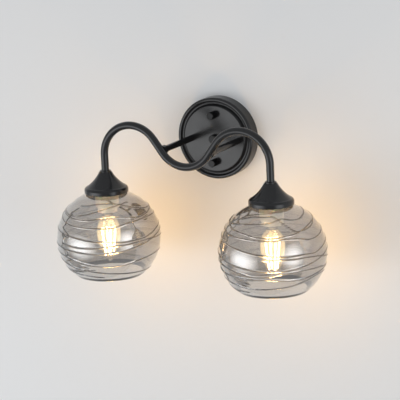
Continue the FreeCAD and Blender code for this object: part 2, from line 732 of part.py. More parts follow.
def knuckle(side, sign):
    """Collar with a socket for the rod and a saddle that sits on the back of the bent tube."""
    name = f"{side}_knuckle"
    cone = face_out(solid("Part::Cone", f"{name}_cone", Radius1="rod_radius + knuckle_edge",
                          Radius2="knuckle_radius", Height="knuckle_taper"))
    barrel = face_out(solid("Part::Cylinder", f"{name}_barrel", Radius="knuckle_radius",
                            Height="knuckle_length + knuckle_wrap - knuckle_taper"))
    bind(barrel, ".Placement.Base.y", "-knuckle_taper")
    blank = doc.addObject("Part::Fuse", f"{name}_blank")
    blank.Base = cone
    blank.Tool = barrel
    socket = face_out(solid("Part::Cylinder", f"{name}_socket", Radius="rod_radius + seat_gap",
                            Height="knuckle_socket"))
    wire_hole = face_out(solid("Part::Cylinder", f"{name}_wire_hole", Radius="rod_bore",
                               Height="knuckle_length + knuckle_wrap"))
    saddle = solid("Part::Cylinder", f"{name}_saddle", Radius="tube_radius + seat_gap",
                   Height="8 * tube_radius")
    saddle.Placement.Rotation = FreeCAD.Rotation(Vector(0, 1, 0), 45)
    start = "4 * tube_radius * cos(run_tilt)"
    bind(saddle, ".Placement.Rotation.Angle", f"{sign}(90 deg - run_tilt)")
    bind(saddle, ".Placement.Base.x", start if sign else f"-{start}")
    bind(saddle, ".Placement.Base.z", "-4 * tube_radius * sin(run_tilt)")
    bind(saddle, ".Placement.Base.y", "-(knuckle_length + tube_radius)")
    tools = doc.addObject("Part::MultiFuse", f"{name}_tools")
    tools.Shapes = [socket, wire_hole, saddle]
    body = doc.addObject("Part::Cut", name)
    body.Base = blank
    body.Tool = tools
    keep(body, name, x=f"{sign}rod_offset", y="-knuckle_back", z="rod_z")


def wave_tube():
    """One tube bent in a plane: leg, arch, straight run, valley, run, arch, leg."""
    body = new_body("wave_tube")
    spine = new_sketch(body, "wave_spine", "XZ_Plane")
    draw(spine, [
        ("-lamp_offset", "-tube_end_drop"),
        ("-lamp_offset", "arch_centre_z"),
        ("-(run_top_x)", "run_top_z", "arch_radius", CLOCKWISE),
        ("-(run_low_x)", "run_low_z"),
        ("run_low_x", "run_low_z", "valley_radius", ANTICLOCKWISE),
        ("run_top_x", "run_top_z"),
        ("lamp_offset", "arch_centre_z", "arch_radius", CLOCKWISE),
        ("lamp_offset", "-tube_end_drop"),
    ], closed=False)
    ring = new_sketch(body, "wave_ring", "XY_Plane")
    draw_circle(ring, "-lamp_offset", "0", "tube_radius", "outside")
    draw_circle(ring, "-lamp_offset", "0", "tube_radius - tube_wall", "inside")
    bind(ring, ".AttachmentOffset.Base.z", "-tube_end_drop")
    pipe = body.newObject("PartDesign::AdditivePipe", "wave_pipe")
    pipe.Profile = ring
    pipe.Spine = spine
    doc.recompute()
    body.Tip = pipe
    drill(body, "wave_wire_holes", "XZ_Plane", [
        ("rod_offset", "rod_z", "rod_bore"),
        ("-rod_offset", "rod_z", "rod_bore"),
    ], side="One side")
    keep(body, "wave_tube", y="-arm_reach")


def lead(side, sign):
    """Lead from the terminal block through rod and tube to the lampholder."""
    tilt = math.radians(number("run_tilt"))
    bend = number("lead_bend")
    rod_x = number("rod_offset")
    rod_z = number("rod_z")
    reach = number("arm_reach")
    block_side = number("block_width / 2")
    depth = number("lead_depth")
    radius = number("lead_radius")
    arch_x = number("span")
    arch_z = number("arch_centre_z")
    arch = number("arch_radius")
    lamp_x = number("lamp_offset")
    along = Vector(math.cos(tilt), 0, math.sin(tilt))
    corner = Vector(rod_x, -reach, rod_z)
    arch_top = Vector(arch_x, -reach, arch_z + arch)
    run_top = Vector(number("run_top_x"), -reach, number("run_top_z"))
    soft = 1 - math.sqrt(0.5)

    def arc(start, middle, end):
        return Part.Arc(start, middle, end).toShape()

    start = Vector(block_side, -depth, rod_z)
    bend_in = Vector(rod_x - bend, -depth, rod_z)
    bend_out = Vector(rod_x, -depth - bend, rod_z)
    bend_middle = Vector(rod_x - bend * soft, -depth - bend * soft, rod_z)
    turn_in = corner + Vector(0, bend, 0)
    turn_out = corner + along * bend
    turn_middle = corner + (Vector(0, 1, 0) + along) * (bend * soft)
    leg_top = Vector(lamp_x, -reach, arch_z)
    leg_end = Vector(lamp_x, -reach, -number("socket_drop - contact_thick"))
    edges = [
        Part.makeLine(start, bend_in),
        arc(bend_in, bend_middle, bend_out),
        Part.makeLine(bend_out, turn_in),
        arc(turn_in, turn_middle, turn_out),
        Part.makeLine(turn_out, run_top),
        arc(run_top, arch_top, leg_top),
        Part.makeLine(leg_top, leg_end),
    ]
    path = Part.Wire(edges)
    section = Part.Wire([Part.makeCircle(radius, start, Vector(1, 0, 0))])
    pipe = path.makePipeShell([section], True, False)
    wanted = math.pi * radius**2 * path.Length
    if abs(pipe.Volume / wanted - 1) > 0.01:
        raise ValueError("the lead's volume isn't its section times its length")
    if sign:
        pipe = pipe.mirror(Vector(0, 0, 0), Vector(1, 0, 0))
    keep(store(f"{side}_lead", pipe), f"{side}_lead")


# ---------------------------------------------------------------- lamp heads


def collar_and_cup(side, sign):
    """Round collar on the tube, and under it the spun bell cup with its flared side."""
    place = {"x": f"{sign}lamp_offset", "y": "-arm_reach"}
    bore = "tube_radius + seat_gap"
    body = turned(f"{side}_collar", "XZ_Plane", [
        (bore, "collar_drop"),
        ("collar_radius - collar_edge", "collar_drop"),
        ("collar_radius", "collar_drop + collar_edge", "collar_edge", CLOCKWISE),
        ("collar_radius", "cup_top_drop"),
        (bore, "cup_top_drop"),
    ])
    keep(body, f"{side}_collar", **place)
    wall = "cup_wall"
    body = turned(f"{side}_cup", "XZ_Plane", [
        (bore, "cup_top_drop"),
        ("cup_top_radius", "cup_top_drop"),
        ("cup_neck_radius", "cup_neck_drop"),
        ("cup_flare_end_radius", "cup_flare_drop", "cup_flare_radius", ANTICLOCKWISE),
        ("cup_lip_radius", "cup_lip_drop", "cup_shoulder_round", CLOCKWISE),
        ("cup_lip_radius", "cup_end_drop - cup_lip_round"),
        ("cup_lip_radius - cup_lip_round", "cup_end_drop", "cup_lip_round", CLOCKWISE),
        (f"cup_lip_radius - {wall} - cup_lip_round / 2", "cup_end_drop"),
        (f"cup_lip_radius - {wall} - cup_lip_round / 2", "cup_lip_drop"),
        (f"cup_flare_end_radius - {wall}", f"cup_flare_drop + {wall}",
         "cup_shoulder_round", ANTICLOCKWISE),
        (f"cup_neck_radius - {wall}", f"cup_neck_drop + {wall}",
         f"cup_flare_radius + {wall}", CLOCKWISE),
        (f"cup_top_radius - {wall}", f"cup_top_drop + {wall}"),
        (bore, f"cup_top_drop + {wall}"),
    ])
    keep(body, f"{side}_cup", **place)


def cup_lock_nuts():
    """Nuts on the tube's ends that draw the cups up to the collars."""
    places = [("lamp_offset", "-arm_reach"), ("-lamp_offset", "-arm_reach")]
    nuts = hex_nuts("cup_lock_nuts", "XY_Plane", "cup_nut_flats", "cup_nut_height",
                    "tube_radius + seat_gap", "-(cup_top_drop + cup_wall + cup_nut_height)",
                    places)
    keep(nuts, "cup_lock_nuts")


def lampholder(side, sign):
    """Moulded lampholder: cap on the tube, flange for the glass, threaded skirt."""
    place = {"x": f"{sign}lamp_offset", "y": "-arm_reach"}
    body = turned(f"{side}_lampholder", "XZ_Plane", [
        ("tube_radius + seat_gap", "holder_top_drop"),
        ("holder_cap_radius", "holder_top_drop"),
        ("holder_cap_radius", "holder_cone_drop"),
        ("holder_body_radius", "holder_body_drop"),
        ("holder_body_radius", "holder_flange_drop - holder_flange_height"),
        ("holder_flange_radius", "holder_flange_drop - holder_flange_height"),
        ("holder_flange_radius", "holder_flange_drop"),
        ("holder_skirt_radius", "holder_flange_drop"),
        ("holder_skirt_radius", "holder_end_drop"),
        ("holder_mouth_radius", "holder_end_drop"),
        ("holder_mouth_radius", "socket_mouth_drop"),
        ("socket_bore", "socket_mouth_drop"),
        ("socket_bore", "socket_drop"),
        ("holder_wire_radius", "socket_drop"),
        ("holder_wire_radius", "tube_end_drop"),
        ("tube_radius + seat_gap", "tube_end_drop"),
    ])
    keep(body, f"{side}_lampholder", **place)
    outer = "socket_radius + socket_wall"
    top = "socket_mouth_drop - socket_length"
    body = turned(f"{side}_screw_shell", "XZ_Plane", [
        ("socket_radius", top),
        (outer, top),
        (outer, "socket_mouth_drop"),
        ("socket_radius", "socket_mouth_drop"),
    ])
    keep(body, f"{side}_screw_shell", **place)
    under = "socket_drop + contact_thick"
    body = turned(f"{side}_centre_contact", "XZ_Plane", [
        ("0", "socket_drop"),
        ("contact_radius", "socket_drop"),
        ("contact_radius", under),
        ("contact_radius / 2", under),
        ("contact_radius / 4", f"{under} + contact_dome"),
        ("0", f"{under} + contact_dome"),
    ])
    keep(body, f"{side}_centre_contact", **place)


def shade_and_ring(side, sign):
    """Blown glass with a wide mouth, clamped at its neck between flange and shade ring."""
    place = {"x": f"{sign}lamp_offset", "y": "-arm_reach"}
    inner_radius = "shade_radius - shade_wall"
    body = turned(f"{side}_glass_shade", "XZ_Plane", [
        ("shade_neck_radius", "shade_top"),
        ("shade_radius", "shade_centre_drop", "shade_arc", CLOCKWISE),
        ("shade_mouth_radius", "shade_centre_drop + shade_arc * mouth_sine",
         "shade_arc", CLOCKWISE),
        ("shade_offset + shade_inner_arc * mouth_cosine",
         "shade_centre_drop + shade_inner_arc * mouth_sine", "0.55 * shade_wall", CLOCKWISE),
        (inner_radius, "shade_centre_drop", "shade_inner_arc", ANTICLOCKWISE),
        ("shade_neck_radius", "shade_inner_top", "shade_inner_arc", ANTICLOCKWISE),
    ])
    keep(body, f"{side}_glass_shade", **place)
    flange_end = "ring_top + ring_flange_thick"
    body = turned(f"{side}_shade_ring", "XZ_Plane", [
        ("ring_bore", "ring_top"),
        ("ring_flange_radius", "ring_top"),
        ("ring_flange_radius", flange_end),
        ("ring_skirt_radius", flange_end),
        ("ring_end_radius", "ring_top + ring_height"),
        ("ring_bore", "ring_top + ring_height"),
    ])
    keep(body, f"{side}_shade_ring", **place)


def bulb(side, sign):
    """Candle bulb hanging tip down: screw cap, glass, stem, wires and filaments."""
    place = {"x": f"{sign}lamp_offset", "y": "-arm_reach"}
    contact = "bulb_contact_drop"
    body = turned(f"{side}_bulb_cap", "XZ_Plane", [
        ("0", contact),
        ("bulb_contact_radius", contact),
        ("bulb_contact_radius", f"{contact} + bulb_contact_height"),
        ("bulb_cap_radius", f"{contact} + 2 * bulb_contact_height"),
        ("bulb_cap_radius", "bulb_cap_end_drop - bulb_foot_height"),
        ("bulb_cap_foot", "bulb_cap_end_drop"),
        ("0", "bulb_cap_end_drop"),
    ])
    keep(body, f"{side}_bulb_cap", **place)
    wall = "bulb_wall"
    body = turned(f"{side}_bulb_glass", "XZ_Plane", [
        ("bulb_neck_radius", "bulb_glass_drop"),
        ("bulb_radius", "bulb_belly_drop", "upper_curve", CLOCKWISE),
        ("bulb_tip_radius", "taper_drop", "taper_curve", CLOCKWISE),
        ("0", "bulb_tip_drop", "tip_curve", CLOCKWISE),
        ("0", f"bulb_tip_drop - {wall}"),
        (f"bulb_tip_radius - {wall} / 2", f"taper_drop - {wall}", f"tip_curve - {wall} / 4",
         ANTICLOCKWISE),
        (f"bulb_radius - {wall}", "bulb_belly_drop", "taper_curve", ANTICLOCKWISE),
        (f"bulb_neck_radius - {wall}", "bulb_glass_drop", "upper_curve", ANTICLOCKWISE),
    ])
    keep(body, f"{side}_bulb_glass", **place)
    body = turned(f"{side}_bulb_stem", "XZ_Plane", [
        ("0", "bulb_glass_drop"),
        ("stem_radius", "bulb_glass_drop"),
        ("stem_neck_radius", "bulb_glass_drop + stem_flare_height", "stem_flare_height",
         ANTICLOCKWISE),
        ("stem_neck_radius", "stem_end_drop"),
        ("0", "stem_end_drop"),
    ])
    keep(body, f"{side}_bulb_stem", **place)

    radius = number("filament_radius")
    wire = number("mast_radius")
    mast_top = Vector(0, 0, -number("stem_end_drop"))
    mast_end = Vector(0, 0, -number("filament_end_drop") - wire)
    filaments = []
    wires = [rod_between(mast_top, mast_end, wire)]
    for index in range(FILAMENTS):
        angle = 2 * math.pi * (index + 0.5) / FILAMENTS
        outward = Vector(math.cos(angle), math.sin(angle), 0)
        top = outward * number("filament_top_spread")
        top.z = -number("filament_top_drop")
        end = outward * number("filament_end_spread")
        end.z = -number("filament_end_drop")
        filaments.append(rod_between(top, end, radius))
        wires.append(rod_between(mast_top - Vector(0, 0, wire), top, wire / 2))
        wires.append(rod_between(mast_end + Vector(0, 0, wire), end, wire / 2))
    cage = wires[0].multiFuse(wires[1:])
    for filament in filaments:
        cage = cage.cut(filament)
    keep(store(f"{side}_filaments", Part.makeCompound(filaments)), f"{side}_filaments", **place)
    keep(store(f"{side}_filament_wires", cage), f"{side}_filament_wires", **place)


wall_bracket()
canopy_screws()
earth_terminal()
terminal_block()
canopy()
cap_nut("top_cap_nut", "screw_offset")
cap_nut("bottom_cap_nut", "-screw_offset")
centre_plug()
stand_off_rods()
wave_tube()
cup_lock_nuts()
for side, sign in SIDES:
    knuckle(side, sign)
    lead(side, sign)
    collar_and_cup(side, sign)
    lampholder(side, sign)
    shade_and_ring(side, sign)
    bulb(side, sign)

doc.recompute()
for item in doc.Objects:
    if {"Invalid", "Error"} & set(item.State):
        raise ValueError(f"{item.Name} is {item.State}")
for piece in pieces:
    if piece.Shape.isNull() or not piece.Shape.isValid() or piece.Shape.Volume <= 0:
        raise ValueError(f"{piece.Label} has no valid solid")

os.makedirs("parts", exist_ok=True)
for piece in pieces:
    piece.Shape.exportStep(f"parts/{piece.Label}.step")
print(f"{len(pieces)} sub-parts")
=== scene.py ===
"""Looks of a double arm wall sconce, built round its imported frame."""

import math
import random

import bmesh
import bpy
import numpy as np
from mathutils import Matrix, Vector


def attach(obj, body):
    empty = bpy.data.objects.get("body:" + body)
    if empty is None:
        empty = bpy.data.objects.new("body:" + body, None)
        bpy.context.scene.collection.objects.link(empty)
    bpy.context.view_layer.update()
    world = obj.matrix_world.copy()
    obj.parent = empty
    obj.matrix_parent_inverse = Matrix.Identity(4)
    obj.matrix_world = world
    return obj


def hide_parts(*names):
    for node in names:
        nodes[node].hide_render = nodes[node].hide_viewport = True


MM = 0.001
LAMP_OUT, LAMP_REACH = 131, 115          # lamp axes, from the middle of the object
FILAMENTS = -138                         # height of the filaments' middle
THICKNESS_AND_SHADE = "thickness_and_shade"                  # attribute: how much thicker the glass is here, and the lip's painted shadow band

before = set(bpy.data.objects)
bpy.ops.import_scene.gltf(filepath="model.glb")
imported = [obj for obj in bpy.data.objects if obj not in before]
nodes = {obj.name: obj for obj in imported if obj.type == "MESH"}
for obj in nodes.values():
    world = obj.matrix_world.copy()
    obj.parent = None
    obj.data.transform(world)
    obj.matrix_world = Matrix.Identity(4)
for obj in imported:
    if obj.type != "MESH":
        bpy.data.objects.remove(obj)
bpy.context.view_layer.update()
scene = bpy.context.scene
scene.view_settings.view_transform = "Standard"


# ---------------------------------------------------------------- materials


def linear(hex_colour):
    """An sRGB hex value, such as #2a2a2b, as linear RGBA."""
    channels = [int(hex_colour[i:i + 2], 16) / 255 for i in (1, 3, 5)]
    return tuple(
        c / 12.92 if c <= 0.04045 else ((c + 0.055) / 1.055) ** 2.4 for c in channels
    ) + (1.0,)


def add(tree, kind, links=(), **settings):
    """Adds one node. settings name its properties or input sockets, and each of links is an
    input with the output socket that feeds it."""
    node = tree.nodes.new(kind)
    for name, value in settings.items():
        if hasattr(node, name):
            setattr(node, name, value)
        else:
            node.inputs[name.replace("_", " ")].default_value = value
    for name, socket in links:
        tree.links.new(socket, node.inputs[name])
    return node


def material(name, **surface):
    """A material with one Principled surface, its node tree, and its Object coordinates."""
    made = bpy.data.materials.new(name)
    made.use_nodes = True
    tree = made.node_tree
    tree.nodes.clear()
    surface = add(tree, "ShaderNodeBsdfPrincipled", **surface)
    add(tree, "ShaderNodeOutputMaterial", [("Surface", surface.outputs["BSDF"])])
    place = add(tree, "ShaderNodeTexCoord")
    return made, tree, surface, place.outputs["Object"]


def per_metre(millimetres):
    """Texture scale for a grain of that size."""
    return 1 / (millimetres * MM)


def powder_coated_steel():
    """Black polyester powder, sprayed and baked: a soft gloss broken up by fine orange peel."""
    made, tree, surface, place = material(
        "powder_coated_steel", Base_Color=linear("#161617"), Roughness=0.2)
    peel = add(tree, "ShaderNodeTexNoise", [("Vector", place)], Scale=per_metre(1.1), Detail=3.0,
               Roughness=0.55)
    bump = add(tree, "ShaderNodeBump", [("Height", peel.outputs["Fac"])], Strength=0.25,
               Distance=0.03 * MM)
    tree.links.new(bump.outputs["Normal"], surface.inputs["Normal"])
    cloud = add(tree, "ShaderNodeTexNoise", [("Vector", place)], Scale=per_metre(24), Detail=2.0)
    sheen = add(tree, "ShaderNodeMapRange", [("Value", cloud.outputs["Fac"])], From_Min=0.3,
                From_Max=0.7, To_Min=0.16, To_Max=0.24)
    tree.links.new(sheen.outputs["Result"], surface.inputs["Roughness"])
    tone = add(tree, "ShaderNodeValToRGB", [("Fac", cloud.outputs["Fac"])])
    tone.color_ramp.elements[0].color = linear("#131314")
    tone.color_ramp.elements[1].color = linear("#18181a")
    tree.links.new(tone.outputs["Color"], surface.inputs["Base Color"])
    return made


def black_enamel():
    """Turned brass, blacked and lacquered: the deepest black here, with a dull small highlight."""
    made, tree, surface, place = material(
        "black_enamel", Base_Color=linear("#09090a"), Roughness=0.33,
        Specular_IOR_Level=0.35)
    cloud = add(tree, "ShaderNodeTexNoise", [("Vector", place)], Scale=per_metre(3), Detail=2.0)
    sheen = add(tree, "ShaderNodeMapRange", [("Value", cloud.outputs["Fac"])], To_Min=0.3,
                To_Max=0.36)
    tree.links.new(sheen.outputs["Result"], surface.inputs["Roughness"])
    return made


def zinc_plated_steel():
    """Pressed mild steel, bright zinc plated: pale grey with a fine cloudy spangle."""
    made, tree, surface, place = material(
        "zinc_plated_steel", Base_Color=linear("#b9bcc0"), Metallic=1.0, Roughness=0.34)
    spangle = add(tree, "ShaderNodeTexVoronoi", [("Vector", place)], Scale=per_metre(2.5))
    sheen = add(tree, "ShaderNodeMapRange", [("Value", spangle.outputs["Distance"])],
                To_Min=0.28, To_Max=0.42)
    tree.links.new(sheen.outputs["Result"], surface.inputs["Roughness"])
    tone = add(tree, "ShaderNodeValToRGB", [("Fac", spangle.outputs["Distance"])])
    tone.color_ramp.elements[0].color = linear("#aeb2b6")
    tone.color_ramp.elements[1].color = linear("#c4c7ca")
    tree.links.new(tone.outputs["Color"], surface.inputs["Base Color"])
    return made


def turned_brass():
    """Free-cutting brass, pressed or turned and left bright, with fine turning lines."""
    made, tree, surface, place = material(
        "turned_brass", Base_Color=linear("#c9a35c"), Metallic=1.0, Roughness=0.28)
    lines = add(tree, "ShaderNodeTexWave", [("Vector", place)], bands_direction="Z",
                Scale=per_metre(2.4), Distortion=0.6, Detail=1.0)
    bump = add(tree, "ShaderNodeBump", [("Height", lines.outputs["Fac"])], Strength=0.2,
               Distance=0.02 * MM)
    tree.links.new(bump.outputs["Normal"], surface.inputs["Normal"])
    return made


def nickel_plated_brass():
    """Drawn cap shell, nickel plated: warm silver with a soft mirror."""
    made, tree, surface, place = material(
        "nickel_plated_brass", Base_Color=linear("#cfc8bb"), Metallic=1.0, Roughness=0.2)
    cloud = add(tree, "ShaderNodeTexNoise", [("Vector", place)], Scale=per_metre(1.5), Detail=3.0)
    sheen = add(tree, "ShaderNodeMapRange", [("Value", cloud.outputs["Fac"])], To_Min=0.14,
                To_Max=0.3)
    tree.links.new(sheen.outputs["Result"], surface.inputs["Roughness"])
    return made


def moulded_polyamide():
    """Natural white polyamide, injection moulded: slightly waxy, milky white."""
    made, tree, surface, place = material(
        "moulded_polyamide", Base_Color=linear("#e6e5df"), Roughness=0.38,
        Subsurface_Weight=0.1, Subsurface_Scale=1.5 * MM)
    grain = add(tree, "ShaderNodeTexNoise", [("Vector", place)], Scale=per_metre(0.9), Detail=2.0)
    bump = add(tree, "ShaderNodeBump", [("Height", grain.outputs["Fac"])], Strength=0.2,
               Distance=0.02 * MM)
    tree.links.new(bump.outputs["Normal"], surface.inputs["Normal"])
    return made


def pvc_sheath():
    """Extruded black PVC: soft, with a dull shine and faint waves from the die."""
    made, tree, surface, place = material(
        "pvc_sheath", Base_Color=linear("#252525"), Roughness=0.5)
    wave = add(tree, "ShaderNodeTexNoise", [("Vector", place)], Scale=per_metre(2), Detail=1.0)
    bump = add(tree, "ShaderNodeBump", [("Height", wave.outputs["Fac"])], Strength=0.2,
               Distance=0.04 * MM)
    tree.links.new(bump.outputs["Normal"], surface.inputs["Normal"])
    return made


def clear_bulb_glass():
    """Soda-lime tube glass, blown clear, with a painted warm glow in its wall beside the filaments,
    strongest a little above their middle, that stands for the glare round them."""
    made, tree, surface, place = material(
        "clear_bulb_glass", Base_Color=linear("#fdfaf2"), Roughness=0.0, IOR=1.5,
        Transmission_Weight=1.0, Emission_Color=linear("#ffe2ae"))
    height = add(tree, "ShaderNodeSeparateXYZ", [("Vector", place)])
    middle = add(tree, "ShaderNodeMath", [(0, height.outputs["Z"])], operation="SUBTRACT")
    middle.inputs[1].default_value = (FILAMENTS + 6) * MM
    away = add(tree, "ShaderNodeMath", [(0, middle.outputs["Value"])], operation="ABSOLUTE")
    # painted glow: the wall's emission, fading away from the filaments
    glow = add(tree, "ShaderNodeMapRange", [("Value", away.outputs["Value"])],
               interpolation_type="SMOOTHSTEP", From_Min=8 * MM, From_Max=38 * MM,
               To_Min=0.36, To_Max=0.0)
    tree.links.new(glow.outputs["Result"], surface.inputs["Emission Strength"])
    return made


def glowing_filament():
    """LED chips on a glass rod under yellow silicone: a warm white line of light."""
    return material("glowing_filament", Base_Color=linear("#ffd27a"), Roughness=0.4,
                    Emission_Color=linear("#ffe2b0"), Emission_Strength=45.0)[0]


def smoked_glass(name, **film):
    """Mouth-blown grey glass: darker in the threads, partly as thicker glass and partly as painted
    shade along them, and near black in a painted shadow band at its lip.
    """
    made, tree, surface, place = material(
        name, Roughness=0.0, IOR=1.5, Transmission_Weight=1.0, **film)
    thick_and_shaded = add(tree, "ShaderNodeAttribute", attribute_name=THICKNESS_AND_SHADE)
    tint_and_shade = add(tree, "ShaderNodeValToRGB", [("Fac", thick_and_shaded.outputs["Fac"])])
    tint_and_shade.color_ramp.elements[0].color = linear("#cfcbc6")
    # near black at the top value: painted shadow of the rounded lip
    tint_and_shade.color_ramp.elements[1].color = linear("#211d18")
    # threads: darker than their thickness alone makes them, a painted shade line
    tint_and_shade.color_ramp.elements.new(0.5).color = linear("#857b6f")
    tree.links.new(tint_and_shade.outputs["Color"], surface.inputs["Base Color"])
    return made


def half_silvered_glass():
    """The same glass with a thin mirror film laid on it as vapour: it shows the room as well."""
    return smoked_glass("half_silvered_glass", Coat_Weight=1.0, Coat_IOR=3.1,
                        Coat_Roughness=0.01)


def wall_paint(name, colour):
    """Flat emulsion on the wall and floor of the room. Seen from its back it lets the eye through."""
    made, tree, surface, place = material(name, Base_Color=linear(colour), Roughness=0.9)
    out = next(n for n in tree.nodes if n.type == "OUTPUT_MATERIAL")
    side = add(tree, "ShaderNodeNewGeometry")
    clear = add(tree, "ShaderNodeBsdfTransparent")
    either = add(tree, "ShaderNodeMixShader", [(0, side.outputs["Backfacing"]),
                                              (1, surface.outputs["BSDF"]),
                                              (2, clear.outputs["BSDF"])])
    tree.links.new(either.outputs["Shader"], out.inputs["Surface"])
    return made


FINISHES = {
    "black_paint": powder_coated_steel(),
    "black_gloss": black_enamel(),
    "steel": zinc_plated_steel(),
    "brass": turned_brass(),
    "cap_nickel": nickel_plated_brass(),
    "white_plastic": moulded_polyamide(),
    "lead_sheath": pvc_sheath(),
    "clear_glass": clear_bulb_glass(),
    "filament": glowing_filament(),
    "smoke_glass": smoked_glass("smoked_glass"),
}

SILVERED = half_silvered_glass()

for part in nodes.values():
    for holder in part.material_slots:
        holder.material = FINISHES[holder.material.name.split(".")[0]]


# ---------------------------------------------------------------- camera


def place_camera():
    """Eye-level three-quarter view from the right, with the horizon turned a little."""
    around, above, roll = math.radians(27.487), math.radians(13.179), math.radians(-2.435)
    back = Vector((math.sin(around) * math.cos(above), -math.cos(around) * math.cos(above),
                   math.sin(above)))
    level = Vector((math.cos(around), math.sin(around), 0))
    up = back.cross(level)
    right = math.cos(roll) * level + math.sin(roll) * up
    top = -math.sin(roll) * level + math.cos(roll) * up
    target = Vector((-7.779, -60.0, -83.456)) * MM
    data = bpy.data.cameras.new("camera")
    data.sensor_width, data.lens = 36, 144.231
    data.clip_start, data.clip_end = 0.05, 50
    eye = bpy.data.objects.new("camera", data)
    scene.collection.objects.link(eye)
    eye.matrix_world = (Matrix.Translation(target + back * 2.317009)
                        @ Matrix((right, top, back)).transposed().to_4x4())
    scene.camera = eye


place_camera()


# ---------------------------------------------------------------- glass shades

GLASS_CENTRE, GLASS_DROP = 6.3, -134     # centre of the glass's curve, off the lamp axis
SOLID_OUTSIDE = 70                       # outside of the solid's curve, which the threads reach
GLASS_OUTSIDE = 69.1                     # its outside between the threads
GLASS_INSIDE = 67.2
NECK, MOUTH = 14.8, 50                   # radii of its two holes
THREAD_HEIGHT, THREAD_HALF_WIDTH = 0.88, 1.35
LIP_RADIUS = 1.7                         # fire-polished bead round the mouth
LIP_PAINTED_SHADOW = (-0.4, 3)                     # painted shadow band, above the middle of the bead
FILM_FOOT = 3.2                          # lower edge of the mirror film, above the same
FILM_TOP = -68                           # its upper edge
CREST = 0.45                             # thickness from which a thread's crest shows bare glass

# Hot threads trailed round the glass: (angle round the lamp axis, height) in degrees and mm.
# An angle past 360 is one more turn.
TRAILS = {
    "left": [
        [(-175, -92), (-130, -101), (-105, -104), (-80, -105), (-60, -104.5), (-47, -103.5),
         (-34, -100.5), (-15, -99), (10, -99), (60, -102), (120, -108), (185, -113),
         (225, -116), (255, -119), (280, -122.5), (300, -124), (313, -125.5), (330, -125),
         (344, -124), (358, -121), (375, -117), (410, -114), (450, -118), (490, -127),
         (530, -134), (570, -136), (612, -139), (645, -141), (660, -140), (673, -138.5),
         (690, -135), (707, -131), (725, -126), (760, -122), (800, -128), (850, -138),
         (900, -144), (945, -148), (975, -153), (990, -157), (1013, -160.5), (1033, -160),
         (1050, -157), (1070, -154), (1100, -152), (1150, -156), (1210, -163), (1260, -167),
         (1310, -172), (1330, -172.5), (1345, -169.5), (1360, -165.5)],
        [(-110, -79), (-95, -78), (-80, -76), (-60, -75.5), (-40, -77), (-20, -82), (0, -87),
         (30, -90), (90, -91), (150, -90), (200, -91), (240, -94), (265, -95.5), (290, -93),
         (313, -92), (335, -95), (345, -96), (360, -94.5), (400, -90), (470, -86),
         (540, -87), (600, -92), (625, -89), (645, -84), (665, -80), (700, -76)],
        [(-120, -131), (-90, -133), (-45, -129.5), (-15, -128), (10, -130), (60, -136),
         (120, -145), (170, -152), (215, -158), (250, -165), (280, -170), (330, -176),
         (380, -178), (450, -177), (540, -174), (600, -176), (650, -180)],
        [(-94.5, -160), (-89.5, -163), (-90, -166.5), (-95.5, -169.5), (-101, -172)],
    ],
    "right": [
        [(-160, -106), (-120, -113), (-104, -116), (-88, -119), (-70, -122), (-53, -123.5),
         (-29, -123.5), (-15, -124.5), (3, -120), (40, -113), (90, -112), (150, -118),
         (200, -128), (235, -136), (260, -140), (285, -143), (304, -143), (317, -141.5),
         (329, -139.5), (345, -136), (357, -133), (380, -128), (420, -124), (480, -128),
         (540, -137), (590, -144), (620, -149), (632, -151.5), (650, -150), (663, -147),
         (677, -146), (690, -145.5), (710, -147), (730, -150), (760, -150), (820, -148),
         (900, -152), (960, -155), (990, -155), (1008, -155), (1026, -157), (1048, -158),
         (1070, -155), (1100, -152), (1160, -154), (1230, -162), (1260, -166), (1290, -174),
         (1310, -178), (1340, -178)],
        [(-175, -84), (-130, -92), (-101, -95.5), (-87, -98), (-70, -99), (-60, -98.5),
         (-39, -96.5), (-20, -92), (0, -88), (40, -85), (90, -86), (150, -92), (210, -98),
         (250, -101), (290, -102), (310, -101), (329, -103), (340, -106), (360, -105),
         (400, -99), (460, -94), (520, -91), (580, -88), (620, -84), (650, -82), (670, -78),
         (696, -81), (720, -78), (760, -74)],
        [(-120, -80), (-100, -76), (-80, -75.5), (-60, -76), (-38, -91.5), (-27, -94),
         (-8, -92), (20, -86), (60, -82), (110, -82)],
        [(-75, -127.5), (-53, -127), (-40, -128), (-29, -128), (-10, -131), (15, -138),
         (60, -147), (120, -156), (190, -163), (240, -168), (270, -171), (310, -168),
         (335, -162), (353, -158), (380, -160), (440, -170), (520, -178), (600, -181)],
        [(-100, -157), (-105, -159), (-106, -163), (-103, -167), (-98, -166), (-96, -162),
         (-97, -158.5), (-101, -157)],
    ],
}
# Where each thread was let go, it ran down the glass in a loose scribble.
SCRIBBLES = {"left": (-118, -82, -163, 7), "right": (-137, -74, -166, 8)}


def along_glass(height):
    """Distance along the glass's curve from its widest ring, for a height in mm."""
    return GLASS_OUTSIDE * math.asin(max(-1, min(1, (height - GLASS_DROP) / GLASS_OUTSIDE)))


def smooth_line(points, steps):
    """A smooth curve through the points, with equal steps between each two."""
    made = []
    for i in range(len(points) - 1):
        before, start = points[max(i - 1, 0)], points[i]
        end, after = points[i + 1], points[min(i + 2, len(points) - 1)]
        for k in range(steps):
            t = k / steps
            made.append([
                0.5 * (2 * b + (c - a) * t + (2 * a - 5 * b + 4 * c - d) * t * t
                       + (3 * b - a - 3 * c + d) * t ** 3)
                for a, b, c, d in zip(before, start, end, after)
            ])
    made.append(list(points[-1]))
    return made


def thread_lines(side):
    """Every trailed thread of one glass as an array of (angle in radians, distance along the glass)."""
    lines = []
    for trail in TRAILS[side]:
        points = [(math.radians(a), along_glass(h)) for a, h in trail]
        lines.append(np.array(smooth_line(points, 14)))
    middle, top, foot, sway = SCRIBBLES[side]
    draw = random.Random(side)
    points, height = [], top
    while height > foot:
        points.append((math.radians(middle + draw.uniform(-sway, sway)), along_glass(height)))
        height += draw.choice((-7.5, -6.0, -4.0, 2.5))
    lines.append(np.array(smooth_line(points, 8)))
    return lines


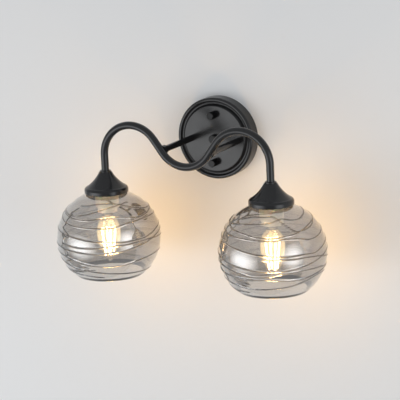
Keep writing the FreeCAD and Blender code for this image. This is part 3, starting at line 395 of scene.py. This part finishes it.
def thread_rise(angles, places, lines):
    """How far the threads lift the glass at each point, in mm."""
    width = THREAD_HALF_WIDTH
    sideways = 0.06                      # the half width as an angle, where the glass is narrow
    rise = np.zeros(len(angles))
    reach = GLASS_CENTRE + GLASS_OUTSIDE * np.cos(places / GLASS_OUTSIDE)
    for line in lines:
        # A trail's angle counts on from turn to turn, so each turn of the glass is tried.
        for turn in range(-2, 7):
            shifted = angles + 2 * math.pi * turn
            for a, b in zip(line[:-1], line[1:]):
                near = ((shifted > min(a[0], b[0]) - sideways)
                        & (shifted < max(a[0], b[0]) + sideways)
                        & (places > min(a[1], b[1]) - width) & (places < max(a[1], b[1]) + width))
                if not near.any():
                    continue
                x, y = (shifted[near] - a[0]) * reach[near], places[near] - a[1]
                dx, dy = (b[0] - a[0]) * reach[near], b[1] - a[1]
                t = np.clip((x * dx + y * dy) / (dx * dx + dy * dy + 1e-9), 0, 1)
                apart = np.hypot(x - t * dx, y - t * dy)
                lift = np.cos(np.pi / 2 * np.minimum(apart / width, 1))
                rise[near] = np.maximum(rise[near], THREAD_HEIGHT * lift)
    return rise


def finished(bm, name, body, slot, replaced=()):
    """Makes the mesh one piece of the object, riding on its body, in the finish of its slot."""
    mesh = bpy.data.meshes.new(name)
    bm.to_mesh(mesh)
    bm.free()
    mesh.materials.append(FINISHES[slot])
    for face in mesh.polygons:
        face.use_smooth = True
    piece = bpy.data.objects.new(name, mesh)
    scene.collection.objects.link(piece)
    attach(piece, body)
    if replaced:
        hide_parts(*replaced)
    return piece


def arc_of_vertices(bm, centre, start, angle, steps):
    """Turns one vertex round a centre in the XZ plane and returns the first and last vertices of its
    arc.
    """
    first = bm.verts.new(start)
    made = bmesh.ops.spin(bm, geom=[first], cent=centre, axis=(0, 1, 0), dvec=(0, 0, 0),
                          angle=angle, steps=steps)
    last = next(v for v in made["geom_last"] if isinstance(v, bmesh.types.BMVert))
    return first, last


def glass_profile(bm, mouth_angle):
    """Draws the outline of the glass wall and its bead in the XZ plane, and returns it."""
    centre = Vector((GLASS_CENTRE, 0, GLASS_DROP)) * MM

    def on_arc(radius, down):
        return centre + Vector((math.sin(down), 0, math.cos(down))) * radius * MM

    neck_out = math.asin((NECK - GLASS_CENTRE) / GLASS_OUTSIDE)
    neck_in = math.asin((NECK - GLASS_CENTRE) / GLASS_INSIDE)
    foot = math.pi / 2 + mouth_angle
    swell = 2 * LIP_RADIUS / GLASS_INSIDE
    outer = arc_of_vertices(bm, centre, on_arc(GLASS_OUTSIDE, neck_out), foot - neck_out, 360)
    inner = arc_of_vertices(bm, centre, on_arc(GLASS_INSIDE, neck_in), foot - neck_in - swell, 60)
    lip_centre = on_arc(GLASS_OUTSIDE - LIP_RADIUS, foot)
    lip = arc_of_vertices(bm, lip_centre, outer[1].co.copy(), math.pi, 12)
    bm.edges.new((outer[0], inner[0]))
    bm.edges.new((lip[1], inner[1]))
    bmesh.ops.remove_doubles(bm, verts=bm.verts[:], dist=0.001 * MM)
    return bm.verts[:] + bm.edges[:]


def turn_round(bm, profile):
    """Turns the outline round the lamp axis, with narrow columns where the scribble runs."""
    for start, sweep, steps in ((-165, 58, 76), (-107, 302, 108)):
        copy = bmesh.ops.duplicate(bm, geom=profile)["geom"]
        bmesh.ops.rotate(bm, verts=[v for v in copy if isinstance(v, bmesh.types.BMVert)],
                         cent=(0, 0, 0), matrix=Matrix.Rotation(math.radians(start), 3, "Z"))
        bmesh.ops.spin(bm, geom=copy, cent=(0, 0, 0), axis=(0, 0, 1), dvec=(0, 0, 0),
                       angle=math.radians(sweep), steps=steps)
    bmesh.ops.delete(bm, geom=[v for v in profile if isinstance(v, bmesh.types.BMVert)],
                     context="VERTS")
    bmesh.ops.remove_doubles(bm, verts=bm.verts[:], dist=0.01 * MM)
    bmesh.ops.recalc_face_normals(bm, faces=bm.faces[:])


def raise_threads(bm, side, lip_height):
    """Lifts the outside where a thread runs, writes the thickness and the lip's painted shadow band,
    and films the rest.
    """
    thickness_and_shade = bm.verts.layers.float.new(THICKNESS_AND_SHADE)
    outside, angles, places = [], [], []
    for v in bm.verts:
        angle = math.atan2(v.co.y, v.co.x)
        ring = Vector((math.cos(angle), math.sin(angle), 0)) * GLASS_CENTRE * MM
        out = v.co - ring - Vector((0, 0, GLASS_DROP * MM))
        if abs(out.length - GLASS_OUTSIDE * MM) < 0.05 * MM:
            outside.append((v, out.normalized()))
            angles.append(angle)
            places.append(GLASS_OUTSIDE * math.asin(max(-1, min(1, out.z / out.length))))
    rise = thread_rise(np.array(angles), np.array(places), thread_lines(side))
    for v in bm.verts:
        # painted shadow: the band round the lip takes the darkest tint
        v[thickness_and_shade] = float(LIP_PAINTED_SHADOW[0] < (v.co.z - lip_height) / MM < LIP_PAINTED_SHADOW[1])
    for (v, out), lift in zip(outside, rise):
        v.co += out * float(lift) * MM
        v[thickness_and_shade] = max(v[thickness_and_shade], float(lift) / THREAD_HEIGHT / 2)
        v.tag = True

    # The film stops short of the neck and of the lip, and the threads lie on top of it.
    for face in bm.faces:
        filmed = lip_height + FILM_FOOT * MM < face.calc_center_median().z < FILM_TOP * MM
        face.material_index = int(
            filmed and all(v.tag and v[thickness_and_shade] < CREST for v in face.verts))


def glass_shade(side, sign):
    """Blown glass shade with threads of glass trailed round it."""
    bm = bmesh.new()
    mouth_angle = math.acos((MOUTH - GLASS_CENTRE) / SOLID_OUTSIDE)
    turn_round(bm, glass_profile(bm, mouth_angle))
    bead = GLASS_OUTSIDE - LIP_RADIUS
    raise_threads(bm, side, (GLASS_DROP - bead * math.sin(mouth_angle)) * MM)
    bmesh.ops.translate(bm, verts=bm.verts[:],
                        vec=Vector((sign * LAMP_OUT, -LAMP_REACH, 0)) * MM)
    shade = finished(bm, f"{side}_threaded_shade", "fixture", "smoke_glass",
                     [f"{side}_glass_shade"])
    shade.data.materials.append(SILVERED)


for side, sign in (("left", -1), ("right", 1)):
    glass_shade(side, sign)


# ---------------------------------------------------------------- room and lamps


def stage_plane(name, size, place, turn, paint):
    """A flat part of the room."""
    bm = bmesh.new()
    bmesh.ops.create_grid(bm, x_segments=1, y_segments=1, size=size / 2)
    bmesh.ops.rotate(bm, verts=bm.verts[:], cent=(0, 0, 0), matrix=Matrix.Rotation(*turn))
    bmesh.ops.translate(bm, verts=bm.verts[:], vec=place)
    mesh = bpy.data.meshes.new(name)
    bm.to_mesh(mesh)
    bm.free()
    mesh.materials.append(paint)
    made = bpy.data.objects.new(name, mesh)
    scene.collection.objects.link(made)
    return made


wall = stage_plane("wall", 24, (0, 0.0002, 0), (math.radians(90), 3, "X"),
                   wall_paint("wall_paint", "#ebebeb"))
wall.visible_diffuse = False             # its bounce is left to the world's light
stage_plane("floor", 8, (0, -4, -1.4), (0, 3, "X"), wall_paint("floor_paint", "#d8d8d8"))


def soft_box(name, around, above, distance, size, strength):
    """A cloth-fronted lamp, brightest in its middle, placed by its angles from the object."""
    data = bpy.data.lights.new(name, "AREA")
    data.shape, data.size, data.size_y = "RECTANGLE", size[0], size[1]
    data.color, data.energy = (0.97, 0.985, 1.0), strength
    data.use_nodes = True
    tree = data.node_tree
    cloth = add(tree, "ShaderNodeNewGeometry")
    place = add(tree, "ShaderNodeVectorMath", [(0, cloth.outputs["Parametric"])],
                operation="SUBTRACT")
    place.inputs[1].default_value = (0.5, 0.5, 0)
    away = add(tree, "ShaderNodeVectorMath", [(0, place.outputs["Vector"])], operation="LENGTH")
    glow = add(tree, "ShaderNodeMapRange", [("Value", away.outputs["Value"])],
               interpolation_type="SMOOTHSTEP", From_Min=0.0, From_Max=0.62, To_Min=2.2,
               To_Max=0.02)
    tree.links.new(glow.outputs["Result"], tree.nodes["Emission"].inputs["Strength"])
    lamp = bpy.data.objects.new(name, data)
    scene.collection.objects.link(lamp)
    a, e = math.radians(around), math.radians(above)
    back = Vector((math.cos(a) * math.cos(e), math.sin(a) * math.cos(e), math.sin(e)))
    lamp.location = Vector((0, -0.1, -0.12)) + back * distance
    lamp.rotation_euler = (-back).to_track_quat("-Z", "Y").to_euler()
    lamp.visible_camera = False


soft_box("soft_box_left", -128, -12, 1.5, (2.1, 1.3), 10.5)
soft_box("soft_box_right", -22, 0, 1.5, (1.4, 1.4), 7)


def collection_of(name, wanted):
    """A collection of the solids whose names are wanted, for the lights to choose from."""
    made = bpy.data.collections.new(name)
    for part_name, part in nodes.items():
        if wanted(part_name):
            made.objects.link(part)
    return made


def small_lamp(name, place, colour, strength, radius):
    """A small round light that isn't seen itself, with its place in mm."""
    data = bpy.data.lights.new(name, "POINT")
    data.color, data.energy, data.shadow_soft_size = colour, strength, radius
    lamp = bpy.data.objects.new(name, data)
    scene.collection.objects.link(lamp)
    lamp.location = Vector(place) * MM
    lamp.visible_camera = lamp.visible_glossy = lamp.visible_transmission = False
    return lamp


# The bulbs' own light reaches the room past the glass, and only metal and plastic stop it.
see_through = ("bulb", "filament", "shade", "shell", "contact")
blockers = collection_of("bulb_light_blockers",
                         lambda name: not any(word in name for word in see_through))
for side, sign in (("left", -1), ("right", 1)):
    lamp = small_lamp(f"{side}_bulb_light", (sign * LAMP_OUT, -LAMP_REACH, FILAMENTS),
                      (1.0, 0.57, 0.16), 0.39, 0.016)
    lamp.light_linking.blocker_collection = blockers

# What the glass throws back onto each lampholder, from three sides.
inside = ("lampholder", "shade_ring", "bulb_cap")
lit = collection_of("lit_by_the_glass", lambda name: any(word in name for word in inside))
for side, sign in (("left", -1), ("right", 1)):
    for turn in range(3):
        angle = math.radians(-90 + 120 * turn)
        lamp = small_lamp(f"{side}_glass_light_{turn + 1}",
                          (sign * LAMP_OUT + 45 * math.cos(angle),
                           -LAMP_REACH + 45 * math.sin(angle), -120),
                          (1.0, 0.8, 0.55), 0.15, 0.02)
        lamp.light_linking.receiver_collection = lit
        lamp.light_linking.blocker_collection = lit

world = bpy.data.worlds.new("room_light")
world.use_nodes = True
scene.world = world
sky = world.node_tree.nodes["Background"]
sky.inputs["Color"].default_value = linear("#eff2f5")
sky.inputs["Strength"].default_value = 0.61
